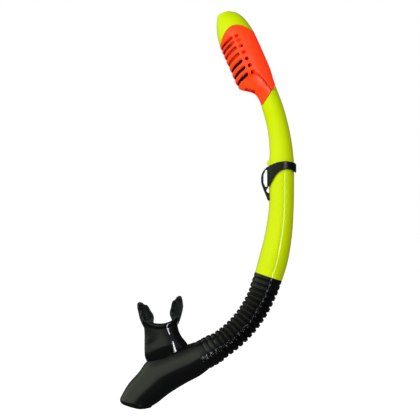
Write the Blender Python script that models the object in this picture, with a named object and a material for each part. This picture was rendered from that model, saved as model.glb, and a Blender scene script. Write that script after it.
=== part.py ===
"""Dry-top snorkel: a J-shaped tube with a float valve in its slotted head, a strap keeper on the
barrel, a corrugated hose, and a chamber with a bite mouthpiece above and a purge valve below.

Lengths are millimetres and angles degrees; add_object turns the millimetres into metres.
The tube bends in the XZ plane, which is also the snorkel's mirror plane. The origin is on the
flat pad that the mask strap bears on, and +Z points up the barrel.
"""

import math

import bmesh
import bpy
from mathutils import Matrix, Vector

MM = 0.001
GAP = 0.3  # clearance between pieces that touch
FLIP = Matrix.Rotation(math.pi, 4, "Y")

# The tube's centreline, as stretches of (length, degrees turned towards -X).
TUBE_X = 16.0  # barrel axis, measured from the strap pad
UPWARD = ((18.0, 0.0), (72.2, 21.0))
BARREL_DOWN = ((18.0, 0.0), (92.8, 18.3))
UPPER_CUFF = 18.0
RIDGED_LENGTH = 82.2
LOWER_CUFF = 20.8
HOSE_DOWN = ((UPPER_CUFF, 2.4), (RIDGED_LENGTH, 37.8), (LOWER_CUFF, 4.2))
DOWNWARD = BARREL_DOWN + HOSE_DOWN
BARREL_TOP = -sum(length for length, _ in UPWARD)
BARREL_END = sum(length for length, _ in BARREL_DOWN)
HOSE_END = sum(length for length, _ in DOWNWARD)

# Barrel: outer radius at distances down the tube from the keeper, and its wall.
BARREL_RADII = ((-90.0, 11.6), (-60.0, 11.9), (-30.0, 13.1), (-16.0, 14.0), (36.0, 14.0),
                (60.0, 15.0), (90.0, 16.2), (110.8, 15.9))
BARREL_WALL = 1.5
SEAM_RISE = 4.6  # height of the slanted seam with the head, on the barrel's axis
SEAM_SLOPE = 36.0

# Head, in its own frame: z up the head's axis from the barrel's top, x to the back.
HEAD_TOP = 110.2
HEAD_WALL = 1.6
FRONT_REACH = ((-10.0, 11.3), (4.0, 11.3), (10.0, 12.6), (14.0, 15.2), (18.5, 21.2), (22.0, 26.2),
               (25.0, 28.2), (31.0, 29.2), (45.0, 29.7), (72.0, 31.0), (80.0, 30.4), (88.0, 29.3),
               (100.0, 25.6), (109.0, 21.2))
BACK_REACH = ((-10.0, 11.6), (18.0, 11.9), (32.0, 12.9), (45.0, 12.5), (58.0, 11.9), (73.0, 11.0),
              (80.0, 10.2), (88.0, 8.5), (96.6, 5.6), (105.0, 0.0), (109.0, -6.0))
SIDE_REACH = ((-10.0, 11.3), (26.0, 18.0), (40.0, 19.0), (66.0, 19.0), (80.0, 18.2), (92.0, 15.4),
              (102.0, 10.8), (109.0, 4.0))
NECK_REACH = ((-10.0, 11.3), (4.0, 11.3), (34.0, 15.5))
NECK_BLEND = 7.0  # how far the bulged sides take to swell out of the slimmer neck
ARCH_TOP = 91.2  # seam between cap and cage, an arch seen from the side
ARCH_X = -10.0
ARCH_FALL = 0.036
CAP_LIP = 3.0  # how far the cap's inner lip reaches down inside the cage

# Cage openings, lowest row first: the height of each row's window and of its slot's back end.
ROW_HEIGHTS = (35.3, 43.2, 51.2, 59.3, 67.0, 73.4, 79.0)
SLOT_BACK = math.radians(103.5)  # turn round the head from its back
SLOT_FALL = 6.5  # how much a slot drops per radian as it runs round to the front
SLOT_FRONT_X = -34.0
SLOT_HEIGHT = 3.7
SLOT_TAPER = 0.015  # how much narrower a slot is per millimetre up the head
SPINE_HALF = 1.2  # half the width of the front spine that joins the ribs
WINDOW_X = -7.7
WINDOW_LEAN = 0.057
WINDOW_WIDTH = 3.7
WEB_HALF = 0.8  # half the thickness of the inner web behind the spine
WEB = ((-26.4, 27.0), (-24.0, 27.0), (-24.0, 30.4), (-25.4, 33.0), (-25.4, 60.4), (-24.6, 65.2),
       (-23.0, 66.0), (-23.0, 71.5), (-12.0, 71.5), (-6.0, 74.8), (-4.0, 80.0), (-10.0, 86.0),
       (-22.0, 86.0), (-26.4, 80.0), (-26.4, 73.2), (-29.8, 72.4), (-29.6, 66.0), (-28.8, 45.0),
       (-28.4, 31.0))
BAFFLE = ((-22.4, 53.8), (-13.0, 56.3), (-13.0, 69.4), (-22.4, 66.8))
BAFFLE_DEPTHS = (12.7, 14.2)  # distances of a splash baffle's faces from the mirror plane

# Float valve, in the head's frame.
THROAT_RADIUS = 9.1
THROAT_BORE = 7.9
THROAT_FOOT = -9.0
SEAT_HEIGHT = 63.0
PIVOT = (-11.8, 66.3)
OPEN_ANGLE = 28.0
PIN_RADIUS = 0.9
EAR_INSIDE = 7.0
FLAP_RADIUS = 9.0
FLAP_THICKNESS = 1.8
FLOAT_X = -19.2
FLOAT_LOW = 31.0
FLOAT_HIGH = 60.0
TAIL_TIP = (-21.0, 68.6)  # with the valve shut
STEM_TOP = 62.2

# Strap keeper on the barrel's straight stretch.
KEEPER_BORE = 14.3
KEEPER_OUTSIDE = 16.5
SLOT_WIDTH = 4.4

# Hose: outer radii of ridges, valleys and cuffs, and its bore.
RIDGES = 13
RIDGE_RADIUS = 15.6
VALLEY_RADIUS = 13.6
UPPER_CUFF_RADIUS = 16.0
LOWER_CUFF_RADIUS = 16.8
HOSE_BORE = 12.0
CUFF_BORE = 13.4
BORE_STATIONS = 16
NIPPLE_RADIUS = 12.8
NIPPLE_BORE = 11.2
NIPPLE_LENGTH = 10.0

# Chamber sections down from the hose: centre x and z, heading, half width, half depth.
CHAMBER_SECTIONS = ((-84.0, -203.6, 64.0, 19.0, 16.8), (-101.4, -211.1, 58.0, 20.6, 17.8),
                    (-119.6, -220.6, 48.5, 22.2, 18.4), (-129.4, -230.4, 41.5, 20.2, 18.2),
                    (-139.2, -240.3, 30.0, 19.7, 17.6), (-147.2, -250.2, 14.0, 18.4, 16.8))
CHAMBER_WALL = 2.0
RIM_DROP = 5.5  # the rounded lower rim, beyond the last section
PURGE_BORE = 13.2
LEDGE = 12.8  # height over the rim of the ledge that the purge seat stops against
SEAT_FACE = 9.4  # heights of the seat's outer and inner faces
SEAT_BACK = 12.4
STEM_RADIUS = 1.1

# Mouthpiece, in its own frame at the middle of its base.
MOUTH_FRAME = (-111.9, -194.1, 9.0)
BOOT_LEFT = ((-14.0, 23.0), (-5.0, 25.2), (0.0, 26.0), (17.0, 23.6), (31.0, 21.2), (40.0, 23.0))
BOOT_RIGHT = ((-14.0, 24.0), (-5.0, 24.6), (4.0, 24.1), (16.0, 17.8), (26.0, 15.8), (32.0, 17.8),
              (40.0, 21.0))
BOOT_DEPTH = ((-14.0, 13.4), (0.0, 12.8), (22.0, 11.6), (33.0, 13.4), (40.0, 13.4))
BOOT_WALL = 2.4
RIM_HEIGHT = 31.8
RIM_SADDLE = 0.02  # the rim rises towards the lugs by this times x squared
BOSS_TOP = 9.0

YELLOW = (0.68, 0.90, 0.0, 1.0)
ORANGE = (1.0, 0.10, 0.01, 1.0)
BLACK = (0.006, 0.007, 0.006, 1.0)
GREY = (0.12, 0.12, 0.12, 1.0)
STEEL = (0.6, 0.6, 0.6, 1.0)


def smooth_curve(points, x):
    """Height at x of a smooth curve through (x, height) points, level beyond both ends."""
    if x <= points[0][0]:
        return points[0][1]
    if x >= points[-1][0]:
        return points[-1][1]
    i = max(k for k, point in enumerate(points) if point[0] <= x)

    def slope(k):
        low, high = max(k - 1, 0), min(k + 1, len(points) - 1)
        return (points[high][1] - points[low][1]) / (points[high][0] - points[low][0])

    (x0, y0), (x1, y1) = points[i], points[i + 1]
    span = x1 - x0
    t = (x - x0) / span
    ease = t * t * (3 - 2 * t)
    bend = span * (slope(i) * t * (1 - t) ** 2 - slope(i + 1) * t * t * (1 - t))
    return y0 + (y1 - y0) * ease + bend


def frame_at(x, z, tilt):
    """Frame in the XZ plane whose +Z leans from world +Z towards -X by the tilt."""
    return Matrix.Translation((x, 0, z)) @ Matrix.Rotation(-math.radians(tilt), 4, "Y")


def walk(stretches, distance, side):
    """Frame reached by going a distance up the local Z axis through (length, degrees) stretches."""
    here = Matrix.Identity(4)
    for length, degrees in stretches:
        part = min(distance, length)
        turn = side * math.radians(degrees) * part / length
        step = Vector((0, 0, part))
        if turn:
            radius = part / turn
            step = Vector((-radius * (1 - math.cos(turn)), 0, radius * math.sin(turn)))
        here = here @ Matrix.Translation(step) @ Matrix.Rotation(-turn, 4, "Y")
        distance -= part
    return here @ Matrix.Translation((0, 0, distance))


def tube_at(distance):
    """Frame on the tube's centreline at a distance down it from the keeper; +Z looks up the tube."""
    home = Matrix.Translation((TUBE_X, 0, 0))
    if distance < 0:
        return home @ walk(UPWARD, -distance, 1)
    return home @ FLIP @ walk(DOWNWARD, distance, -1) @ FLIP


def oval(frame, half_width, half_depth, sides, height=0.0, shift=0.0):
    """Ring of points on an ellipse across a frame's Z axis."""
    turns = [2 * math.pi * k / sides for k in range(sides)]
    return [frame @ Vector((shift + half_width * math.cos(a), half_depth * math.sin(a), height))
            for a in turns]


def material(name, colour, roughness, metallic=0.0):
    made = bpy.data.materials.new(name)
    made.use_nodes = True
    shader = made.node_tree.nodes["Principled BSDF"]
    shader.inputs["Base Color"].default_value = colour
    shader.inputs["Roughness"].default_value = roughness
    shader.inputs["Metallic"].default_value = metallic
    made.diffuse_color = colour
    return made


def add_object(name, mesh_data, place, finish=None):
    """Object made from a bmesh in millimetres, at a place that is a frame in millimetres."""
    bmesh.ops.recalc_face_normals(mesh_data, faces=mesh_data.faces)
    bmesh.ops.scale(mesh_data, vec=(MM, MM, MM), verts=mesh_data.verts)
    mesh = bpy.data.meshes.new(name)
    mesh_data.to_mesh(mesh)
    mesh_data.free()
    mesh.shade_smooth()
    mesh.set_sharp_from_angle(angle=math.radians(35))
    made = bpy.data.objects.new(name, mesh)
    bpy.context.scene.collection.objects.link(made)
    placed = place.copy()
    placed.translation *= MM
    made.matrix_world = placed
    if finish:
        mesh.materials.append(finish)
    return made


def skin_between(mesh_data, rings, closed):
    """Faces over a run of rings. A closed run joins its last ring to its first, an open one gets
    a flat face at each end."""
    loops = [[mesh_data.verts.new(point) for point in ring] for ring in rings]
    sides = len(loops[0])
    following = loops[1:] + loops[:1] if closed else loops[1:]
    for lower, upper in zip(loops, following):
        for k in range(sides):
            after = (k + 1) % sides
            mesh_data.faces.new((lower[k], lower[after], upper[after], upper[k]))
    if not closed:
        mesh_data.faces.new(loops[0])
        mesh_data.faces.new(loops[-1])


def loft(name, rings, closed=False, finish=None, origin=(0, 0, 0), place=None):
    """Object skinned over rings. Its origin is a point in the rings' own frame."""
    mesh_data = bmesh.new()
    skin_between(mesh_data, rings, closed)
    bmesh.ops.translate(mesh_data, vec=-Vector(origin), verts=mesh_data.verts)
    base = place or Matrix.Identity(4)
    return add_object(name, mesh_data, base @ Matrix.Translation(origin), finish)


def turned(name, profile, place, sides=32, closed=False, finish=None):
    """Round object about a frame's Z axis from (radius, height) points."""
    rings = [oval(Matrix.Identity(4), radius, radius, sides, height) for radius, height in profile]
    return loft(name, rings, closed, finish, place=place)


def prisms(name, outlines, depths, place, finish=None, origin=(0, 0, 0)):
    """Object of (x, z) outlines, each extruded along Y between every pair of depths."""
    mesh_data = bmesh.new()
    for outline in outlines:
        for near, far in depths:
            rings = [[Vector((x, y, z)) for x, z in outline] for y in (near, far)]
            skin_between(mesh_data, rings, False)
    bmesh.ops.translate(mesh_data, vec=-Vector(origin), verts=mesh_data.verts)
    return add_object(name, mesh_data, place @ Matrix.Translation(origin), finish)


def rectangle(low_x, high_x, low_z, high_z):
    return [(low_x, low_z), (high_x, low_z), (high_x, high_z), (low_x, high_z)]


def combine(target, tool, operation):
    """Boolean of a target with a tool, which stays as a guide and isn't part of the snorkel."""
    modifier = target.modifiers.new(tool.name, "BOOLEAN")
    modifier.operation = operation
    modifier.object = tool
    tool.hide_render = True
    tool.display_type = "WIRE"


def cut(target, *tools):
    for tool in tools:
        combine(target, tool, "DIFFERENCE")


def join(target, *tools):
    for tool in tools:
        combine(target, tool, "UNION")


def barrel(finish):
    """Curved tube, cut off on a slant under the head, with the keeper's stop lug."""
    stations = [BARREL_TOP + k * (BARREL_END - BARREL_TOP) / 19 for k in range(20)]
    head = tube_at(BARREL_TOP)
    above = [head @ Matrix.Translation((0, 0, rise)) for rise in (20.0, 10.0)]
    frames = above + [tube_at(s) for s in stations]
    radii = [BARREL_RADII[0][1]] * 2 + [smooth_curve(BARREL_RADII, s) for s in stations]
    outer = [oval(f, r, r, 28) for f, r in zip(frames, radii)]
    inner = [oval(f, r - BARREL_WALL, r - BARREL_WALL, 28) for f, r in zip(frames, radii)]
    made = loft("barrel", outer + inner[::-1], True, finish)
    lug = prisms("stop_lug_form", [[(-0.3, 16.4), (0.4, 20.6), (4.2, 22.4), (5.0, 15.2), (0.6, 15.2)]],
                 [(-3.0, 3.0)], Matrix.Identity(4))
    bore = turned("stop_lug_bore", [(12.6, 5.0), (12.6, 30.0)], Matrix.Translation((TUBE_X, 0, 0)))
    cut(lug, bore)
    join(made, lug)
    cut(made, seam_block("barrel_trim", 0.0, 60.0))
    return made


def seam_block(name, low, high):
    """Block across the head's axis, slanted like the seam between the barrel and the head."""
    head = tube_at(BARREL_TOP)
    slant = head @ Matrix.Translation((0, 0, SEAM_RISE)) @ Matrix.Rotation(
        -math.radians(SEAM_SLOPE), 4, "Y")
    return prisms(name, [rectangle(-40.0, 40.0, low, high)], [(-30.0, 30.0)], slant)


def head_ring(height, inset, sides=38):
    """Section of the head at a height, drawn in from its outside by an inset."""
    front = smooth_curve(FRONT_REACH, height) - inset
    back = smooth_curve(BACK_REACH, height) - inset
    middle, half = (back - front) / 2, (back + front) / 2
    closing = max(0.0, (height - 80.0) / (HEAD_TOP - 80.0))
    ring = []
    for k in range(sides):
        turn = 2 * math.pi * k / sides
        x = middle + half * math.cos(turn)
        swell = (height - neck_arch(x)) / NECK_BLEND + 0.5
        swell = min(max(swell, 0.0), 1.0)
        swell *= swell * (3 - 2 * swell)
        neck = smooth_curve(NECK_REACH, height)
        depth = neck + (smooth_curve(SIDE_REACH, height) - neck) * swell - inset
        ring.append(Vector((x, depth * math.sin(turn), height - inset * closing)))
    return ring


def neck_arch(x):
    """Height of the arch where the head's bulged sides rise out of its slimmer neck."""
    fall = 0.16 if x > -7.0 else 0.01
    return 33.4 - fall * (x + 7.0) ** 2


def head_form(name, heights, inset, finish=None, hollow=0.0):
    """The head's outside over some heights, drawn in by an inset; hollow if a wall is given."""
    head = tube_at(BARREL_TOP)
    outer = [head_ring(h, inset) for h in heights]
    if not hollow:
        return loft(name, outer, False, finish, place=head)
    inner = [head_ring(h, inset + hollow) for h in heights]
    return loft(name, outer + inner[::-1], True, finish, place=head)


def arch_block(name, shift, side):
    """Everything over (side 1) or under (side -1) the cap seam, moved up by a shift."""
    xs = [ARCH_X + 6.0 * k for k in range(-6, 7)]
    arch = [(x, ARCH_TOP + shift - ARCH_FALL * (x - ARCH_X) ** 2) for x in xs]
    end = 150.0 if side > 0 else -30.0
    outline = arch + [(xs[-1], end), (xs[0], end)]
    return prisms(name, [outline], [(-40.0, 40.0)], tube_at(BARREL_TOP))


def splash_cage(finish):
    """Slotted shell from the barrel seam up to the cap, with a web and two splash baffles inside."""
    low = [-8.0, 2.0, 6.0, 10.0, 14.0, 17.0, 20.0, 23.0, 27.0, 31.0, 36.0]
    high = [45.0, 55.0, 65.0, 74.0, 82.0, 88.0, 93.0]
    made = head_form("splash_cage", low + high, 0.0, finish, HEAD_WALL)
    cut(made, seam_block("cage_trim", -60.0, GAP))
    cut(made, arch_block("cage_top_trim", 0.0, 1))
    cut(made, *cage_openings())
    near, far = BAFFLE_DEPTHS
    head = tube_at(BARREL_TOP)
    join(made, prisms("cage_web_form", [WEB], [(-WEB_HALF, WEB_HALF)], head),
         prisms("baffle_form", [BAFFLE], [(-far, -near), (near, far)], head))
    return made


def slot_path(height):
    """Middle line of a slot from its back end, which lies at a height, to past the front."""
    front, back = smooth_curve(FRONT_REACH, height), smooth_curve(BACK_REACH, height)
    path = []
    for k in range(6):
        along = (math.pi - SLOT_BACK) * k / 5
        x = (back - front) / 2 + (back + front) / 2 * math.cos(SLOT_BACK + along)
        path.append((x, height - SLOT_FALL * along))
    return path + [(SLOT_FRONT_X, path[-1][1])]


def cage_openings():
    """Slots round the front, a window behind each slot, and the drain under the chin."""
    head = tube_at(BARREL_TOP)
    slots = []
    windows = []
    for height in ROW_HEIGHTS:
        rise = height - ROW_HEIGHTS[0]
        half = (SLOT_HEIGHT - SLOT_TAPER * rise) / 2
        path = slot_path(height)
        slots.append([(x, z - half) for x, z in path] + [(x, z + half) for x, z in path[::-1]])
        x = WINDOW_X - WINDOW_LEAN * rise
        windows.append(rectangle(x - WINDOW_WIDTH / 2, x + WINDOW_WIDTH / 2, height - half,
                                 height + half))
    sides = [(-30.0, -SPINE_HALF), (SPINE_HALF, 30.0)]
    drain = [(-22.5, 17.0), (-15.5, 10.5), (-13.0, 17.0), (-19.0, 23.0)]
    return (prisms("slot_cutter", slots, sides, head),
            prisms("window_cutter", windows, [(-30.0, 30.0)], head),
            prisms("drain_cutter", [drain], [(-5.0, 5.0)], head))


def top_cap(finish):
    """Domed cap with a lip that plugs into the cage."""
    heights = [70.0, 76.0, 82.0, 88.0, 93.0, 97.0, 101.0, 104.5, 107.0, 109.0]
    made = head_form("top_cap", heights, 0.0, finish)
    inside = head_form("cap_inside", [60.0] + heights[:-2], HEAD_WALL + GAP + 1.4)
    cut(made, inside)
    cut(made, arch_block("cap_lip_trim", -CAP_LIP, -1))
    below = arch_block("cap_shoulder", GAP, -1)
    cut(below, head_form("cap_lip_form", heights, HEAD_WALL + GAP))
    cut(made, below)
    return made


def throat_tube(finish):
    """Inner tube from the barrel to the valve seat, with two cheeks that hold the lever's pin."""
    head = tube_at(BARREL_TOP)
    profile = [(THROAT_RADIUS, THROAT_FOOT), (THROAT_RADIUS, 59.0), (THROAT_RADIUS + 0.5, 60.0),
               (THROAT_RADIUS + 0.5, SEAT_HEIGHT - 0.8), (THROAT_BORE + 0.5, SEAT_HEIGHT),
               (THROAT_BORE, SEAT_HEIGHT - 0.4), (THROAT_BORE, THROAT_FOOT)]
    made = turned("throat_tube", profile, head, closed=True, finish=finish)
    ear = [(-8.5, 58.0), (-2.0, 59.0), (-2.0, 62.4), (-9.4, 62.6), (-9.6, 67.6), (-6.2, 69.4),
           (-6.2, 76.5), (-22.5, 77.5), (-24.0, 73.0), (-24.0, 66.4), (-15.0, 65.6), (-14.0, 63.8)]
    ears = prisms("ear_form", [ear], [(-EAR_INSIDE - 1.8, -EAR_INSIDE), (EAR_INSIDE, EAR_INSIDE + 1.8)],
                  head)
    bore = turned("throat_bore_form", [(THROAT_BORE, 50.0), (THROAT_BORE, 70.0)], head)
    cut(ears, bore)
    join(made, ears)
    cut(made, pivot_rod("ear_hole", PIN_RADIUS + GAP, 20.0))
    return made


def pivot_frame():
    return tube_at(BARREL_TOP) @ Matrix.Translation((PIVOT[0], 0, PIVOT[1]))


def pivot_rod(name, radius, half_length, finish=None):
    """Rod along Y through the valve's pivot."""
    across = pivot_frame() @ Matrix.Rotation(math.pi / 2, 4, "X")
    return turned(name, [(radius, -half_length), (radius, half_length)], across, 16, finish=finish)


def lever_frame():
    """Frame at the pivot, turned so that shapes drawn with the valve shut come out open."""
    return pivot_frame() @ Matrix.Rotation(-math.radians(OPEN_ANGLE), 4, "Y")


def float_lever(finish):
    """Rocker with a hub on the pin, an arm over the flap, a stud for it and a tail."""
    place = lever_frame()
    x, z = PIVOT
    top = SEAT_HEIGHT + GAP + FLAP_THICKNESS + GAP - z
    arm = [(-2.0, -1.2), (1.6, -1.4), (3.0, top), (8.0 - x, top), (8.0 - x, top + 1.4),
           (1.5, top + 2.4), (-1.0, 2.1), (TAIL_TIP[0] - x + 0.4, TAIL_TIP[1] - z + 1.3),
           (TAIL_TIP[0] - x - 0.6, TAIL_TIP[1] - z), (TAIL_TIP[0] - x + 0.2, TAIL_TIP[1] - z - 0.9)]
    made = prisms("float_lever", [arm], [(-4.5, 4.5)], place, finish)
    hub = turned("lever_hub_form", [(2.2, -6.5), (2.2, 6.5)], place @ Matrix.Rotation(
        math.pi / 2, 4, "X"), 20)
    stud_foot = SEAT_HEIGHT - z - 0.9
    stud = turned("lever_stud_form", [(2.6, stud_foot), (2.6, stud_foot + 0.8),
                                      (1.1, stud_foot + 0.8), (1.1, top + 0.7)],
                  place @ Matrix.Translation((-x, 0, 0)), 16)
    join(made, hub, stud)
    cut(made, turned("lever_hole", [(PIN_RADIUS + GAP, -10.0), (PIN_RADIUS + GAP, 10.0)],
                     place @ Matrix.Rotation(math.pi / 2, 4, "X"), 16))
    return made


def seal_flap(finish):
    """Soft disc under the lever's arm, pushed onto the lever's stud."""
    low = SEAT_HEIGHT + GAP - PIVOT[1]
    hole = 1.1 + GAP
    profile = [(hole, low), (FLAP_RADIUS - 0.8, low), (FLAP_RADIUS, low + 0.6),
               (FLAP_RADIUS - 0.4, low + FLAP_THICKNESS), (hole, low + FLAP_THICKNESS)]
    rings = [oval(Matrix.Identity(4), r, r, 32, h, -PIVOT[0]) for r, h in profile]
    return loft("seal_flap", rings, True, finish, place=lever_frame())


def valve_float(finish):
    """Buoyant block beside the throat, grooved for the cage's web, with a stem under the lever."""
    head = tube_at(BARREL_TOP)
    sizes = [(FLOAT_LOW, 4.6, 7.0), (FLOAT_LOW + 3.0, 6.8, 10.4), (FLOAT_HIGH - 4.0, 7.2, 11.5),
             (FLOAT_HIGH, 5.0, 9.4)]
    rings = [oval(Matrix.Identity(4), w, d, 28, h, FLOAT_X) for h, w, d in sizes]
    middle = (FLOAT_X, 0, (FLOAT_LOW + FLOAT_HIGH) / 2)
    made = loft("valve_float", rings, False, finish, middle, head)
    stem = turned("float_stem_form", [(1.4, FLOAT_HIGH - 2.0), (1.4, STEM_TOP)],
                  head @ Matrix.Translation((TAIL_TIP[0], 0, 0)), 16)
    join(made, stem)
    cut(made, prisms("float_groove", [rectangle(-30.0, -25.0, 20.0, 70.0)], [(-1.3, 1.3)], head))
    return made


def strap_keeper(finish):
    """Slanted band round the barrel, with a pad and an outer arm that hold the mask strap."""
    axis = Matrix.Translation((TUBE_X, 0, 0))
    flat = Matrix.Identity(4)
    made = turned("strap_keeper", [(KEEPER_OUTSIDE, -14.0), (KEEPER_OUTSIDE, 24.0)], axis, 40,
                  finish=finish)
    over = [(-12.0, 9.0), (-2.0, 12.2), (2.7, 15.2), (12.0, 18.6), (20.4, 19.6), (27.0, 18.8),
            (34.0, 16.0), (34.0, 40.0), (-12.0, 40.0)]
    under = [(-12.0, -14.5), (-0.6, -12.0), (3.5, -4.6), (8.2, 3.2), (14.0, 8.6), (20.4, 10.6),
             (25.0, 10.2), (34.0, 6.6), (34.0, -40.0), (-12.0, -40.0)]
    pad = [(0.0, 13.0), (6.0, 14.0), (6.0, -1.0), (2.4, -7.0), (0.0, -10.6)]
    arm = prisms("keeper_arm_form", [keeper_arm()], [(-5.0, 5.0)], flat)
    cut(arm, turned("keeper_arm_bore", [(KEEPER_BORE + 0.4, -40.0), (KEEPER_BORE + 0.4, 40.0)],
                    axis, 40))
    cut(made, prisms("keeper_over", [over], [(-30.0, 30.0)], flat),
        prisms("keeper_under", [under], [(-30.0, 30.0)], flat),
        prisms("keeper_front", [rectangle(-10.0, 0.5, -30.0, 30.0)], [(-20.0, 20.0)], flat))
    join(made, prisms("keeper_pad_form", [pad], [(-7.0, 7.0)], flat), arm)
    cut(made, turned("keeper_bore_form", [(KEEPER_BORE, -40.0), (KEEPER_BORE, 40.0)], axis, 40))
    return made


def keeper_arm():
    """Outline of the arm: out from the band's top, down past the slot and back to the barrel."""
    outside = [(5.0, 15.9), (1.0, 14.2), (-3.2, 10.6), (-6.0, 6.0), (-SLOT_WIDTH - 2.6, 0.0),
               (-6.3, -6.0), (-3.9, -13.0), (-0.9, -20.0), (0.6, -24.2), (2.2, -24.2)]
    barb = [(2.2, -15.8), (0.4, -15.4), (-1.4, -13.4), (0.6, -9.6), (0.4, -8.6)]
    slot = [(-2.2, -9.0), (-SLOT_WIDTH, -4.4), (-SLOT_WIDTH, 4.4), (-2.4, 8.6), (-2.2, 10.2),
            (0.2, 10.2), (5.0, 12.0)]
    return outside + barb + slot


def hose_ring(s, radius, sides=20):
    return oval(tube_at(s), radius, radius, sides)


def flex_hose(finish):
    """Corrugated hose with a plain cuff at each end, pushed over the two nipples."""
    start, end = BARREL_END + GAP, HOSE_END - GAP
    first = BARREL_END + UPPER_CUFF
    last = first + RIDGED_LENGTH
    pitch = RIDGED_LENGTH / RIDGES
    outer = [hose_ring(start, UPPER_CUFF_RADIUS), hose_ring(first - 0.6, UPPER_CUFF_RADIUS)]
    for k in range(RIDGES):
        near = first + k * pitch
        outer.append(hose_ring(near + 0.08 * pitch, VALLEY_RADIUS))
        outer.append(hose_ring(near + 0.36 * pitch, RIDGE_RADIUS))
        outer.append(hose_ring(near + 0.72 * pitch, RIDGE_RADIUS))
    outer.append(hose_ring(last + 0.2, VALLEY_RADIUS))
    outer.append(hose_ring(last + 1.4, LOWER_CUFF_RADIUS))
    outer.append(hose_ring(end, LOWER_CUFF_RADIUS))
    inner = []
    for k in range(BORE_STATIONS + 1):
        s = start + (end - start) * k / BORE_STATIONS
        in_a_cuff = min(s - start, end - s) < NIPPLE_LENGTH + 6.0
        inner.append(hose_ring(s, CUFF_BORE if in_a_cuff else HOSE_BORE))
    pivot = tube_at(BARREL_END).translation
    return loft("flex_hose", outer + inner[::-1], True, finish, pivot)


def hose_nipple(finish):
    """Swivel nipple: tight in the hose, free to turn in the barrel's end."""
    half = NIPPLE_LENGTH
    profile = [(NIPPLE_RADIUS - 0.6, half), (NIPPLE_RADIUS, half - 0.8), (NIPPLE_RADIUS, -half),
               (NIPPLE_BORE, -half), (NIPPLE_BORE, half)]
    return turned("hose_nipple", profile, tube_at(BARREL_END), closed=True, finish=finish)


def bend_pivot():
    """Point that the chamber swings about as the hose bends: the middle of the hose."""
    return tube_at((BARREL_END + HOSE_END) / 2).translation


def purge_frame():
    """Frame at the middle of the lower rim; +Z looks up into the chamber."""
    x, z, heading, _, _ = CHAMBER_SECTIONS[-1]
    return frame_at(x, z, -heading) @ Matrix.Translation((0, 0, -RIM_DROP))


def chamber_outside(grow, spigot, spigot_radius):
    """Rings of the chamber's outside, grown all over, below a round spigot for the hose."""
    mouth = tube_at(HOSE_END)
    shoulder = LOWER_CUFF_RADIUS + grow
    rings = [oval(mouth, spigot_radius, spigot_radius, 36, spigot),
             oval(mouth, spigot_radius, spigot_radius, 36, grow),
             oval(mouth, shoulder, shoulder, 36, grow - 0.01)]
    for x, z, heading, width, depth in CHAMBER_SECTIONS:
        rings.append(oval(frame_at(x, z, -heading), width + grow, depth + grow, 36))
    rim = purge_frame()
    width, depth = CHAMBER_SECTIONS[-1][3:]
    for height, draw in ((3.3, 0.8), (1.4, 2.2), (-grow, 4.0)):
        rings.append(oval(rim, width - draw + grow, depth - draw + grow, 36, height))
    return rings


def chamber_cavity():
    """Rings of the air space: the spigot's bore, the hollow inside, and the purge bore."""
    mouth = tube_at(HOSE_END)
    rings = [oval(mouth, NIPPLE_BORE, NIPPLE_BORE, 36, height) for height in (20.0, -1.0)]
    for x, z, heading, width, depth in CHAMBER_SECTIONS[:-1]:
        rings.append(oval(frame_at(x, z, -heading), width - CHAMBER_WALL, depth - CHAMBER_WALL, 36))
    rim = purge_frame()
    narrow = PURGE_BORE - 1.6
    for radius, height in ((narrow, LEDGE + 2.2), (narrow, LEDGE), (PURGE_BORE, LEDGE - 0.01),
                           (PURGE_BORE, -10.0)):
        rings.append(oval(rim, radius, radius, 36, height))
    return rings


def mouth_oval(name, left, right, depth, low, high):
    """Straight oval plug along the mouthpiece's axis."""
    middle, half = (right - left) / 2, (right + left) / 2
    rings = [oval(Matrix.Identity(4), half, depth, 36, h, middle) for h in (low, high)]
    return loft(name, rings, place=frame_at(*MOUTH_FRAME))


def chamber(finish):
    """Moulded elbow with the hose spigot, the oval mouth boss and the purge valve's bore."""
    pivot = bend_pivot()
    made = loft("chamber", chamber_outside(0.0, NIPPLE_LENGTH, NIPPLE_RADIUS), False, finish, pivot)
    join(made, mouth_oval("boss_form", 19.5, 18.0, 9.9, -12.0, BOSS_TOP))
    cut(made, loft("cavity", chamber_cavity()))
    cut(made, mouth_oval("port_form", 17.3, 15.8, 7.7, -14.0, BOSS_TOP + 3.0))
    return made


def boot_ring(height, inset, sides=40, saddle=0.0):
    """Section of the mouthpiece at a height, its rim rising towards the lugs by the saddle."""
    left = smooth_curve(BOOT_LEFT, height) - inset
    right = smooth_curve(BOOT_RIGHT, height) - inset
    depth = smooth_curve(BOOT_DEPTH, height) - inset
    ring = oval(Matrix.Identity(4), (left + right) / 2, depth, sides, height, (right - left) / 2)
    for point in ring:
        point.z += saddle * point.x ** 2
    return ring


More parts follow.
